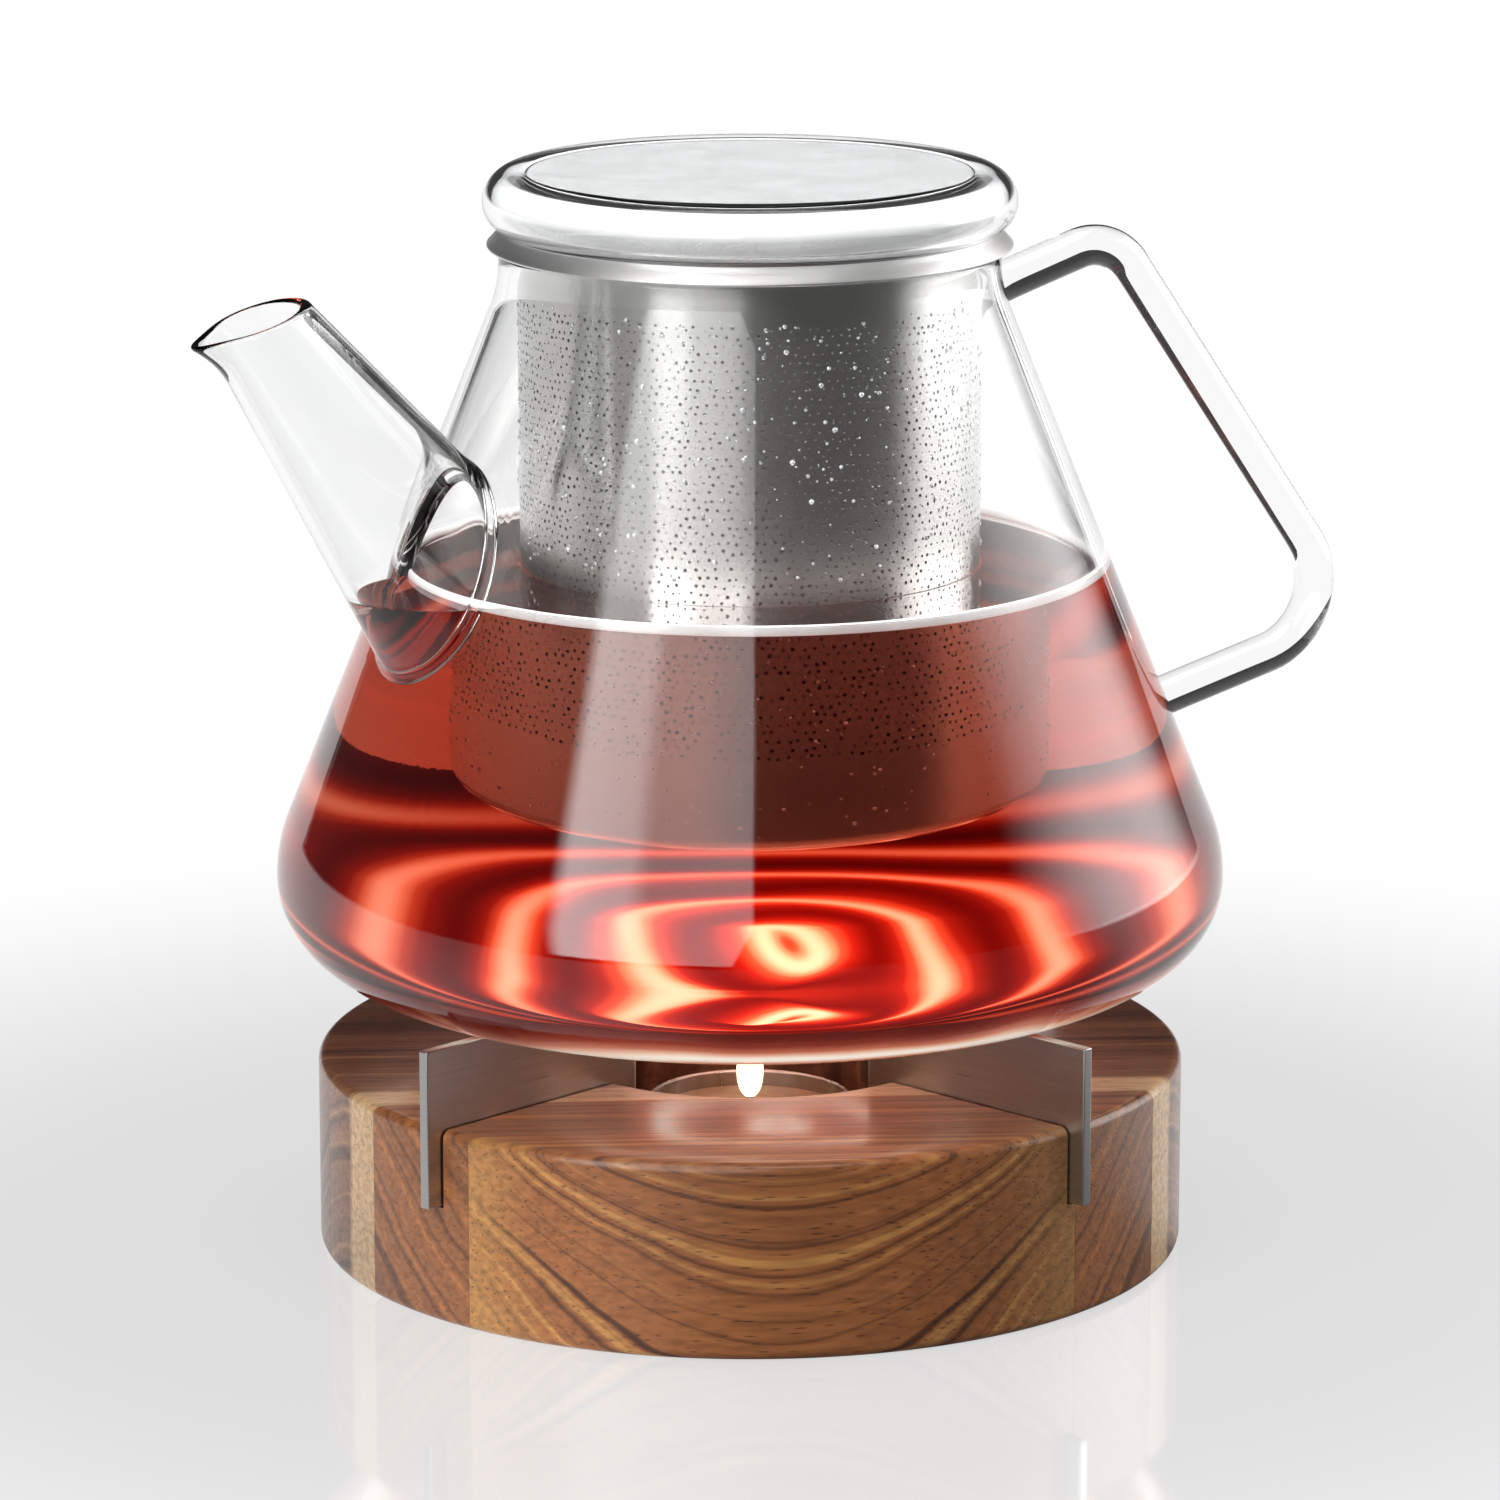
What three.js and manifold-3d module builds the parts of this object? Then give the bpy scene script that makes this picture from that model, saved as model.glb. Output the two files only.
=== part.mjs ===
// Glass teapot on a tealight warmer: a blown conical body with a straight spout and a rod handle, a
// steel infuser and a hollow glass lid, standing on a laminated wooden base with four upright steel
// blades round a tealight.
// Millimetres, +Z up. The origin is on the pot's axis, on the surface that the warmer stands on.
// The spout points along -X and the handle along +X.

import * as THREE from "three";
import { mergeVertices } from "three/addons/utils/BufferGeometryUtils.js";
import Module from "manifold-3d";

const wasm = await Module();
wasm.setup();

// Wooden base, glued from strips.
const base_radius = 80;
const base_height = 36;
const base_edge_round = 1.8;
const recess_radius = 36.8;
const recess_floor = 9;
const board_width = 21.3;
const board_joint = 16.2; // from the base's centre to the first joint on the +Y side, before turning
const glue_line = 0.1;
const grain_turn = 157; // degrees from +X to the boards' length
const blade_turn = 19; // degrees from +X to the first blade

// Steel blades, upright in radial slots, which carry the pot.
const blade_count = 4;
const blade_thickness = 2;
const blade_inner_radius = 31;
const blade_overhang = 3.4; // past the rim of the base
const blade_height = 29;
const blade_rise = 15; // above the top of the base
const slot_clearance = 0.4;

// Tealight.
const cup_radius = 19;
const cup_height = 16.6;
const cup_wall = 0.5;
const wax_depth = 13;
const wax_dish = 0.8; // how far the wax is melted down round the wick
const wick_radius = 0.8;
const wick_height = 19;
const tab_radius = 7;
const tab_thickness = 0.5;
const tab_collar_wall = 0.75;
const tab_collar_height = 4;

// Glass body: flat base, rounded lower edge, short shoulder, straight cone, eased into the neck.
const glass_wall = 2;
const glass_floor = 2.6;
const body_radius = 87.2;
const body_foot_radius = 65; // the flat part that stands on the blades
const belly_height = 18.4; // from the underside to the widest level
const shoulder_radius = 28.8;
const neck_radius = 45.6;
const neck_ease_radius = 20;
const neck_start = 131.4; // from the underside to where the neck stands straight
const neck_straight = 3.2;
const mouth_round = 0.5;

// Spout: a straight cone of glass, fused over a round hole in the body.
const spout_height = 82.6; // of its axis where it meets the wall, above the underside
const spout_angle = 53.5; // degrees above the horizontal
const spout_length = 57; // along its axis, from the wall to the middle of the mouth
const spout_root_radius = 17.2;
const spout_mouth_radius = 9.3;
const spout_mouth_dip = 18.5; // degrees that the mouth's plane falls towards the lip
const spout_wall = 1.8;
const spout_flare = 2; // extra radius of the fused ring at the root
const spout_flare_length = 8;
const lip_reach = 3.6; // how far the pouring lip is drawn out
const lip_length = 9; // of spout that the lip is drawn from

// Handle: one bent glass rod, fused to the body at both ends.
const rod_radius = 3.8;
const handle_top_drop = 11.1; // from the neck's start down to the upper end of the rod
const handle_top_rise = 10.9; // of the upper corner above the upper end
const handle_top_reach = 31; // of the upper corner from the cone
const handle_bottom_height = 38.2; // of the rod's lower end above the underside
const handle_bottom_rise = 15; // of the lower corner above the lower end
const handle_bottom_reach = 54.3;
const top_bend_radius = 10;
const bottom_bend_radius = 14;

// Infuser: a rolled steel wall, a rim that rests on the neck, and a welded base.
const infuser_clearance = 1.6; // to the inside of the neck
const infuser_sheet = 0.6;
const infuser_depth = 104.5; // below the top of the neck
const rim_overhang = 2.1; // of the rim's lower edge past the neck
const rim_shelf = 0.3; // how far the rim's top edge lies inside the neck's outside
const rim_height = 3.2;
const rim_edge = 0.4;
const weld_gap = 0.15;

// Lid: a hollow blown disc with a round edge, and a plug that drops into the infuser.
const lid_overhang = 2.9; // of the round edge past the neck
const lid_edge_radius = 5.7; // of the round edge, seen in section
const lid_wall = 1.8;
const lid_disc_dip = 0.5; // how far the flat top lies below the edge's crown
const plug_clearance = 0.6;
const plug_depth = 8;

const rest_gap = 0.05; // between pieces that stand on each other
const fuse_gap = 0.3; // between fused glass pieces, which are separate solids
const round_steps = 64;
const tube_steps = 20;

// Places worked out from the sizes above.
const blade_top = base_height + blade_rise;
const body_base = blade_top + rest_gap;
const neck_top = body_base + neck_start + neck_straight;
const rim_base = neck_top + rest_gap;
const rim_top = rim_base + rim_height;
const lid_base = rim_top + rest_gap;
const infuser_radius = neck_radius - glass_wall - infuser_clearance;
const infuser_inner = infuser_radius - infuser_sheet;
const infuser_base = neck_top - infuser_depth;

const material = (color, roughness, metalness, more = {}) =>
  new THREE.MeshStandardMaterial({ color, roughness, metalness, ...more });
const clear_glass = material(0xe8eef0, 0.03, 0, { transparent: true, opacity: 0.35 });
const brushed_steel = material(0xb9b6b2, 0.3, 1);
const acacia_light = material(0xa9683c, 0.45, 0);
const acacia_dark = material(0x6f3c20, 0.45, 0);
const aluminium = material(0xc8c8ca, 0.35, 1);
const wax_white = material(0xf3ead6, 0.5, 0);
const cotton = material(0x4a3a2c, 0.9, 0);

const radians = THREE.MathUtils.degToRad;
const vec2 = (x, y) => new THREE.Vector2(x, y);

// A closed three.js geometry as a manifold-3d solid.
function solid(geometry) {
  const bare = geometry.index ? geometry.toNonIndexed() : geometry.clone();
  bare.deleteAttribute("normal");
  bare.deleteAttribute("uv");
  const merged = mergeVertices(bare, 1e-4);
  return new wasm.Manifold(
    new wasm.Mesh({
      numProp: 3,
      vertProperties: merged.attributes.position.array,
      triVerts: new Uint32Array(merged.index.array),
    }),
  );
}

// A named mesh from a manifold-3d solid or a three.js geometry.
function piece(name, shape, finish) {
  let geometry = shape;
  if (!shape.isBufferGeometry) {
    const made = shape.getMesh();
    geometry = new THREE.BufferGeometry();
    geometry.setAttribute("position", new THREE.BufferAttribute(made.vertProperties, 3));
    geometry.setIndex(new THREE.BufferAttribute(made.triVerts, 1));
    geometry.computeVertexNormals();
  }
  const mesh = new THREE.Mesh(geometry, finish);
  mesh.name = name;
  return mesh;
}

// A body of revolution about Z. The outline is a list of (radius, height) points, up the outside and
// down the inside, which starts and ends on the axis or is closed here.
function revolve(outline, steps = round_steps) {
  const onAxis = outline[0].x === 0 && outline[outline.length - 1].x === 0;
  const points = onAxis ? outline : [...outline, outline[0]];
  return new THREE.LatheGeometry(points, steps).rotateX(Math.PI / 2);
}

// Points on an arc, angles in degrees, with separate radii across and up.
function arc(cx, cy, rx, ry, from, to, steps) {
  return Array.from({ length: steps + 1 }, (_, i) => {
    const a = radians(from + ((to - from) * i) / steps);
    return vec2(cx + rx * Math.cos(a), cy + ry * Math.sin(a));
  });
}

// A closed tube through a row of rings. Each ring stands across the XZ plane: low and high are its
// ends in that plane, half is its half width along Y, and pull draws out its low side.
function tube(rings) {
  const positions = [];
  const faces = [];
  for (const { low, high, half, pull } of rings)
    for (let k = 0; k < tube_steps; k++) {
      const a = (2 * Math.PI * k) / tube_steps;
      const point = low.clone().lerp(high, (1 + Math.cos(a)) / 2);
      if (pull) point.addScaledVector(pull, Math.max(0, -Math.cos(a)) ** 8);
      positions.push(point.x, half * Math.sin(a), point.y);
    }
  for (let i = 0; i + 1 < rings.length; i++)
    for (let k = 0; k < tube_steps; k++) {
      const a = i * tube_steps + k;
      const b = i * tube_steps + ((k + 1) % tube_steps);
      faces.push(a, b, b + tube_steps, a, b + tube_steps, a + tube_steps);
    }
  const last = (rings.length - 1) * tube_steps;
  for (let k = 1; k + 1 < tube_steps; k++)
    faces.push(0, k + 1, k, last, last + k, last + k + 1);
  const geometry = new THREE.BufferGeometry();
  geometry.setAttribute("position", new THREE.Float32BufferAttribute(positions, 3));
  geometry.setIndex(faces);
  return solid(geometry);
}

// ---- Wooden base and blades

// Turns a geometry laid along +X to the place of blade number i.
function atBlade(geometry, i) {
  return geometry.rotateZ(radians(blade_turn + (360 * i) / blade_count));
}

// The whole wooden disc, with rounded edges, a round recess and a slot for each blade.
function baseDisc() {
  const r = base_edge_round;
  const disc = revolve([
    vec2(0, 0),
    ...arc(base_radius - r, r, r, r, -90, 0, 3),
    ...arc(base_radius - r, base_height - r, r, r, 0, 90, 3),
    vec2(0, base_height),
  ]);
  const recess = new THREE.CylinderGeometry(recess_radius, recess_radius, base_height, round_steps)
    .rotateX(Math.PI / 2)
    .translate(0, 0, recess_floor + base_height / 2);
  let whole = solid(disc).subtract(solid(recess));
  const slot_floor = blade_top - blade_height - slot_clearance;
  const slot_start = blade_inner_radius / 2;
  for (let i = 0; i < blade_count; i++) {
    const slot = new THREE.BoxGeometry(base_radius, blade_thickness + 2 * slot_clearance, base_height)
      .translate(slot_start + base_radius / 2, 0, slot_floor + base_height / 2);
    whole = whole.subtract(solid(atBlade(slot, i)));
  }
  return whole;
}

// The strips that the disc is glued from, cut out of it side by side.
function boards() {
  const whole = baseDisc();
  const lowest = board_joint - board_width * Math.ceil((base_radius + board_joint) / board_width);
  const strips = [];
  for (let side = lowest; side < base_radius; side += board_width) {
    const width = board_width - glue_line;
    const strip = new THREE.BoxGeometry(3 * base_radius, width, 3 * base_height)
      .translate(0, side + board_width / 2, 0)
      .rotateZ(radians(grain_turn));
    strips.push(whole.intersect(solid(strip)));
  }
  return strips.map((strip, i) =>
    piece("base_board_" + (i + 1), strip, i % 2 ? acacia_dark : acacia_light));
}

function blade(i) {
  const length = base_radius + blade_overhang - blade_inner_radius;
  const plate = new THREE.BoxGeometry(length, blade_thickness, blade_height)
    .translate(blade_inner_radius + length / 2, 0, blade_top - blade_height / 2);
  return piece("blade_" + (i + 1), atBlade(plate, i), brushed_steel);
}

// ---- Tealight: the wick stands in its tab, and the wax is cast round both

function tealight() {
  const steps = 32;
  const floor = recess_floor + rest_gap;
  const inside = floor + cup_wall + rest_gap;
  const inner = cup_radius - cup_wall;
  const bore = wick_radius + rest_gap;
  const collar = bore + tab_collar_wall;
  const cup = revolve([
    vec2(0, floor),
    vec2(cup_radius, floor),
    vec2(cup_radius, floor + cup_height),
    vec2(inner, floor + cup_height),
    vec2(inner, floor + cup_wall),
    vec2(0, floor + cup_wall),
  ], steps);
  const tab = revolve([
    vec2(bore, inside),
    vec2(tab_radius, inside),
    vec2(tab_radius, inside + tab_thickness),
    vec2(collar, inside + tab_thickness),
    vec2(collar, inside + tab_collar_height),
    vec2(bore, inside + tab_collar_height),
  ], steps / 2);
  const wax = revolve([
    vec2(tab_radius + rest_gap, inside),
    vec2(inner - rest_gap, inside),
    vec2(inner - rest_gap, inside + wax_depth),
    vec2(bore, inside + wax_depth - wax_dish),
    vec2(bore, inside + tab_collar_height + rest_gap),
    vec2(collar + rest_gap, inside + tab_collar_height + rest_gap),
    vec2(collar + rest_gap, inside + tab_thickness + rest_gap),
    vec2(tab_radius + rest_gap, inside + tab_thickness + rest_gap),
  ], steps);
  const wick = new THREE.CylinderGeometry(wick_radius, wick_radius, wick_height, 12)
    .rotateX(Math.PI / 2)
    .translate(0, 0, inside + wick_height / 2);
  return [
    piece("tealight_cup", cup, aluminium),
    piece("tealight_wax", wax, wax_white),
    piece("tealight_wick", wick, cotton),
    piece("wick_tab", tab, brushed_steel),
  ];
}

// ---- Glass body

// The straight cone touches the shoulder's arc on one side and the neck's easing arc on the other.
// Its outward normal rises by this angle, in degrees.
function coneNormal() {
  const across = neck_radius + neck_ease_radius - (body_radius - shoulder_radius);
  const up = neck_start - belly_height;
  const span = Math.hypot(across, up);
  const turn = Math.acos((shoulder_radius + neck_ease_radius) / span);
  return THREE.MathUtils.radToDeg(Math.atan2(up, across) - turn);
}

// Radius of the straight cone at a height above the underside.
function coneRadius(height) {
  const normal = radians(coneNormal());
  const touch_radius = body_radius - shoulder_radius * (1 - Math.cos(normal));
  const touch_height = belly_height + shoulder_radius * Math.sin(normal);
  return touch_radius - (height - touch_height) * Math.tan(normal);
}

// The body's side, set in from its outside by an even wall, from the middle of the base up to where
// the neck stands straight.
function bodySide(wall, floor) {
  const normal = coneNormal();
  const foot = body_foot_radius - wall;
  const belly = body_base + belly_height;
  const shoulder = shoulder_radius - wall;
  const ease = neck_ease_radius + wall;
  return [
    vec2(0, body_base + floor),
    ...arc(foot, belly, body_radius - wall - foot, belly_height - floor, -90, 0, 7),
    ...arc(body_radius - shoulder_radius, belly, shoulder, shoulder, 0, normal, 3).slice(1),
    ...arc(neck_radius + neck_ease_radius, body_base + neck_start, ease, ease,
      180 + normal, 180, 3),
  ];
}

// The body filled solid, out to a wall inside its surface, or outside it where wall is negative.
function bodyFilled(wall, floor, top) {
  return solid(revolve([...bodySide(wall, floor), vec2(neck_radius - wall, top), vec2(0, top)]));
}

// The blown body is one piece of glass. It is three solids here, cut at its widest level and where the
// neck begins, so that each is a simple ring or bowl.
function glassBody() {
  const outside = [
    ...bodySide(0, 0),
    vec2(neck_radius, neck_top - mouth_round),
    vec2(neck_radius - mouth_round, neck_top),
    vec2(neck_radius - glass_wall + mouth_round, neck_top),
    vec2(neck_radius - glass_wall, neck_top - mouth_round),
  ];
  const inside = bodySide(glass_wall, glass_floor).reverse();
  const shell = solid(revolve([...outside, ...inside]));
  const blown = shell.subtract(spoutCone(spout_wall, 0, 0));
  const widest = body_base + belly_height;
  const ease_start = body_base + neck_start - neck_ease_radius * Math.sin(radians(coneNormal()));
  const half_gap = fuse_gap / 2;
  const above = (height) => [[0, 0, 1], height + half_gap];
  const below = (height) => [[0, 0, -1], half_gap - height];
  const base = blown.trimByPlane(...below(widest));
  const cone = blown.trimByPlane(...above(widest)).trimByPlane(...below(ease_start));
  const neck = blown.trimByPlane(...above(ease_start));
  return [
    piece("glass_base", base, clear_glass),
    piece("glass_body", cone, clear_glass),
    piece("glass_neck", neck, clear_glass),
  ];
}

// ---- Spout

// The spout's cone as a solid, set in by a wall, from inside the body to past the mouth by overrun.
// Its rings lie along the body's wall at the root and turn to the mouth's own plane.
function spoutCone(wall, flare, overrun) {
  const axis = vec2(-Math.cos(radians(spout_angle)), Math.sin(radians(spout_angle)));
  const outward = vec2(-axis.y, axis.x);
  const root = vec2(-coneRadius(spout_height), body_base + spout_height);
  const taper = (spout_root_radius - spout_mouth_radius) / spout_length;
  const root_lean = coneNormal() - spout_angle;
  const mouth_lean = 90 - spout_angle - spout_mouth_dip;
  const lip = vec2(-Math.cos(radians(spout_mouth_dip)), -Math.sin(radians(spout_mouth_dip)));
  const ring = (along, lean, extra, reach) => {
    const radius = spout_root_radius - wall + extra;
    const slope = Math.tan(radians(lean));
    const end = (side) => {
      const reached = (along + side * slope * radius) / (1 + side * slope * taper);
      return root.clone()
        .addScaledVector(axis, reached)
        .addScaledVector(outward, side * (radius - taper * reached));
    };
    const pull = reach > 0 ? lip.clone().multiplyScalar(reach) : null;
    return { low: end(1), high: end(-1), half: radius - taper * along, pull };
  };
  const rings = [ring(-spout_root_radius, root_lean, flare, 0)];
  const count = 12;
  for (let i = 0; i <= count; i++) {
    const along = (spout_length * i) / count;
    const flared = flare * Math.max(0, 1 - along / spout_flare_length) ** 2;
    const drawn = Math.max(0, 1 - (spout_length - along) / lip_length) ** 2;
    const lean = THREE.MathUtils.lerp(root_lean, mouth_lean, i / count);
    rings.push(ring(along, lean, flared, lip_reach * drawn));
  }
  if (overrun > 0) rings.push(ring(spout_length + overrun, mouth_lean, 0, lip_reach));
  return tube(rings);
}

function glassSpout() {
  const shell = spoutCone(0, spout_flare, 0)
    .subtract(spoutCone(spout_wall, 0, spout_wall))
    .subtract(bodyFilled(-fuse_gap, -fuse_gap, neck_top));
  return piece("glass_spout", shell, clear_glass);
}

// ---- Handle

// Points along a path of straight runs whose corners are rounded, each with its direction.
function roundedPath(points, radii, bend_steps) {
  const path = [];
  const add = (point, direction) => path.push({ point, direction });
  const runs = points.slice(1).map((p, i) => p.clone().sub(points[i]).normalize());
  add(points[0], runs[0]);
  radii.forEach((radius, i) => {
    const corner = points[i + 1];
    const turn = Math.atan2(runs[i].cross(runs[i + 1]), runs[i].dot(runs[i + 1]));
    const cut = radius * Math.tan(Math.abs(turn) / 2);
    const start = corner.clone().addScaledVector(runs[i], -cut);
    const centre = vec2(-runs[i].y, runs[i].x).multiplyScalar(radius * Math.sign(turn)).add(start);
    for (let k = 0; k <= bend_steps; k++) {
      const angle = (turn * k) / bend_steps;
      const point = start.clone().rotateAround(centre, angle);
      add(point, runs[i].clone().rotateAround(vec2(0, 0), angle));
    }
  });
  add(points[points.length - 1], runs[runs.length - 1]);
  return path;
}

function glassHandle() {
  const top = neck_start - handle_top_drop;
  const top_corner = top + handle_top_rise;
  const bottom_corner = handle_bottom_height + handle_bottom_rise;
  const inside = 2 * rod_radius; // both ends start inside the body, which then cuts them to its wall
  const corners = [
    vec2(coneRadius(top) - inside, body_base + top),
    vec2(coneRadius(top_corner) + handle_top_reach, body_base + top_corner),
    vec2(coneRadius(bottom_corner) + handle_bottom_reach, body_base + bottom_corner),
    vec2(coneRadius(handle_bottom_height) - inside, body_base + handle_bottom_height),
  ];
  const rings = roundedPath(corners, [top_bend_radius, bottom_bend_radius], 6)
    .map(({ point, direction }) => {
      const across = vec2(direction.y, -direction.x).multiplyScalar(rod_radius);
      return { low: point.clone().sub(across), high: point.clone().add(across), half: rod_radius };
    });
  const rod = tube(rings).subtract(bodyFilled(-fuse_gap, -fuse_gap, neck_top));
  return piece("glass_handle", rod, clear_glass);
}

// ---- Infuser

function infuser() {
  const bore = infuser_radius + weld_gap;
  const tip = neck_radius + rim_overhang;
  const disc = infuser_inner - weld_gap;
  const wall = revolve([
    vec2(infuser_inner, infuser_base),
    vec2(infuser_radius, infuser_base),
    vec2(infuser_radius, rim_top),
    vec2(infuser_inner, rim_top),
  ]);
  const rim = revolve([
    vec2(bore, rim_base),
    vec2(tip - rim_edge, rim_base),
    vec2(tip, rim_base + rim_edge),
    vec2(neck_radius - rim_shelf, rim_top),
    vec2(bore, rim_top),
  ]);
  const base = revolve([
    vec2(0, infuser_base),
    vec2(disc, infuser_base),
    vec2(disc, infuser_base + infuser_sheet),
    vec2(0, infuser_base + infuser_sheet),
  ]);
  return [
    piece("infuser_wall", wall, brushed_steel),
    piece("infuser_rim", rim, brushed_steel),
    piece("infuser_base", base, brushed_steel),
  ];
}

// ---- Lid

function glassLid() {
  const edge = lid_edge_radius;
  const inner_edge = edge - lid_wall;
  const centre = neck_radius + lid_overhang - edge;
  const seat = neck_radius - rim_shelf - centre;
  const lift = Math.sqrt(edge * edge - seat * seat);
  const middle = lid_base + lift;
  const disc = middle + edge - lid_disc_dip;
  const disc_angle = 180 - THREE.MathUtils.radToDeg(Math.asin((edge - lid_disc_dip) / edge));
  const ceiling = disc - lid_wall;
  const ceiling_angle = 180 - THREE.MathUtils.radToDeg(Math.asin((ceiling - middle) / inner_edge));
  const seat_angle = -THREE.MathUtils.radToDeg(Math.asin(lift / edge));
  const plug = infuser_inner - plug_clearance;
  const lid = revolve([
    vec2(0, ceiling),
    ...arc(centre, middle, inner_edge, inner_edge, ceiling_angle, -90, 8),
    vec2(plug - lid_wall, middle - inner_edge),
    vec2(plug - lid_wall, lid_base),
    ...arc(centre, middle, edge, edge, seat_angle, disc_angle, 9),
    vec2(0, disc),
  ]);
  const ring = revolve([
    vec2(plug - lid_wall, lid_base - plug_depth),
    vec2(plug, lid_base - plug_depth),
    vec2(plug, lid_base - fuse_gap),
    vec2(plug - lid_wall, lid_base - fuse_gap),
  ]);
  return [piece("glass_lid", lid, clear_glass), piece("lid_plug", ring, clear_glass)];
}

const warmer = new THREE.Group();
warmer.add(...boards(), ...Array.from({ length: blade_count }, (_, i) => blade(i)));

const candle = new THREE.Group();
candle.add(...tealight());

const pot = new THREE.Group();
pot.add(...glassBody(), glassSpout(), glassHandle());

const basket = new THREE.Group();
basket.add(...infuser());

const teapot = new THREE.Group();
teapot.add(warmer, candle, pot, basket, ...glassLid());

export default teapot;
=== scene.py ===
"""Glass teapot on a tealight warmer: the visual model, in the order in which the real one is put together.
Sizes are in millimetres until they become a mesh. The spout points along -X and the handle along +X."""

import bpy
import numpy as np
from mathutils import Matrix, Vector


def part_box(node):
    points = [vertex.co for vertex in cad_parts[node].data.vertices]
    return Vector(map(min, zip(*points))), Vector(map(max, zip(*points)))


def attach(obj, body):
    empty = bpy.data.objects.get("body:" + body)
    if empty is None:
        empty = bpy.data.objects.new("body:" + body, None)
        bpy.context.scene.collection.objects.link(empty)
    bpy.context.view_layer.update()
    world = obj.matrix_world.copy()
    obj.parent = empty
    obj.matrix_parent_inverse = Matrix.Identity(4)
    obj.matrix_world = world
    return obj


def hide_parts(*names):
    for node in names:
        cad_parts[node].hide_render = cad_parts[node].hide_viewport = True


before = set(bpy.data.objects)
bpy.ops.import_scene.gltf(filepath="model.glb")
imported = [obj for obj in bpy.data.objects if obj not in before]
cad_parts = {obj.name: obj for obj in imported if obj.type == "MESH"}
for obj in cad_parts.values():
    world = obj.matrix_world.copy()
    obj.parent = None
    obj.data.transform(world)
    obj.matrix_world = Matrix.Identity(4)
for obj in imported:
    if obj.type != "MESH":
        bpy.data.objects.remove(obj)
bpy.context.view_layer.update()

# ---- Wooden base
# A disc glued up from eight strips of acacia, turned to shape, with a round recess for the tealight
# and four sawn slots for the blades. It is sanded, its edges are broken, and it is oiled to a satin shine.
mm = 0.001
base_radius = 80.0
base_height = 36.0
base_edge = 1.8
recess_radius = 36.8
recess_floor = 9.0
recess_edge = 0.7
board_width = 21.3
first_joint = 16.2
glue_line = 0.1
grain_turn = np.radians(157)
slot_half = 1.4
slot_floor = 21.6
slot_inner = 15.5
blade_turns = np.radians(19 + 90 * np.arange(4))


def new_object(name, data):
    """A new object in the scene, made of a mesh, a lamp or a camera."""
    made = bpy.data.objects.new(name, data)
    bpy.context.scene.collection.objects.link(made)
    return made


def copy_of(piece):
    """A copy of a piece with a mesh of its own."""
    return new_object(piece.name, piece.data.copy())


def grid_mesh(name, grid, ring=False, crease=35):
    """Makes a closed mesh from a grid of points in millimetres. Columns run round and join up. Rows join up
    too if ring is set; otherwise each end is closed by a fan to the middle of its row. A row whose points
    all meet is a pole and becomes that middle. Faces are turned outwards by the sign of the volume."""
    if not ring:
        spread = np.abs(grid - grid[:, :1]).max((1, 2))
        middles = grid[[0, -1]].mean(1)
        grid = grid[int(spread[0] < 1e-6) : len(grid) - int(spread[-1] < 1e-6)]
    rows, columns = grid.shape[:2]
    index = np.arange(rows * columns).reshape(rows, columns)
    beside = np.roll(index, -1, 1)
    points = grid.reshape(-1, 3)
    if ring:
        faces = [np.stack([index, beside, np.roll(beside, -1, 0), np.roll(index, -1, 0)], -1).reshape(-1, 4)]
    else:
        low, high = np.full(columns, len(points)), np.full(columns, len(points) + 1)
        faces = [np.stack([index[:-1], beside[:-1], beside[1:], index[1:]], -1).reshape(-1, 4),
                 np.stack([low, beside[0], index[0]], -1), np.stack([high, index[-1], beside[-1]], -1)]
        points = np.concatenate([points, middles])
    triangles = np.concatenate([f[:, [0, k, k + 1]] for f in faces for k in range(1, f.shape[1] - 1)])
    a, b, c = (points[triangles[:, k]] for k in range(3))
    if (a * np.cross(b, c)).sum() < 0:
        faces = [f[:, ::-1] for f in faces]
    mesh = bpy.data.meshes.new(name)
    mesh.from_pydata(points * mm, [], [row for f in faces for row in f.tolist()])
    mesh.shade_smooth()
    mesh.set_sharp_from_angle(angle=np.radians(crease))
    return new_object(name, mesh)


def revolved(name, outline, turns=256, crease=35):
    """Turns an outline of (radius, height) points about Z: (r cos a, r sin a, h) for even angles a.
    An outline that starts on the axis ends on it; any other is joined up into a ring."""
    r, h = np.array(outline, float).T
    a = np.linspace(0, 2 * np.pi, turns, endpoint=False)
    grid = np.stack([np.outer(r, np.cos(a)), np.outer(r, np.sin(a)), np.outer(h, np.ones(turns))], -1)
    return grid_mesh(name, grid, ring=r[0] > 0, crease=crease)


def arc(centre, radii, start, end, steps):
    """Points on an arc: the centre plus (rx cos a, ry sin a), for angles in degrees from start to end."""
    a = np.radians(np.linspace(start, end, steps + 1))
    return [tuple(p) for p in np.stack([centre[0] + radii[0] * np.cos(a), centre[1] + radii[1] * np.sin(a)], -1)]


def prism(name, corners, low, high, crease=35):
    """An upright prism: the same ring of (x, y) corners at two heights."""
    ring = np.array(corners, float)
    grid = np.stack([np.column_stack([ring, np.full(len(ring), h)]) for h in (low, high)])
    return grid_mesh(name, grid, crease=crease)


def bar_corners(turn, start, end, left, right):
    """Corners of a bar from start to end along the direction turn, between two offsets across it."""
    along, across = np.array([np.cos(turn), np.sin(turn)]), np.array([-np.sin(turn), np.cos(turn)])
    return [s * along + t * across for s, t in ((start, left), (end, left), (end, right), (start, right))]


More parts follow.
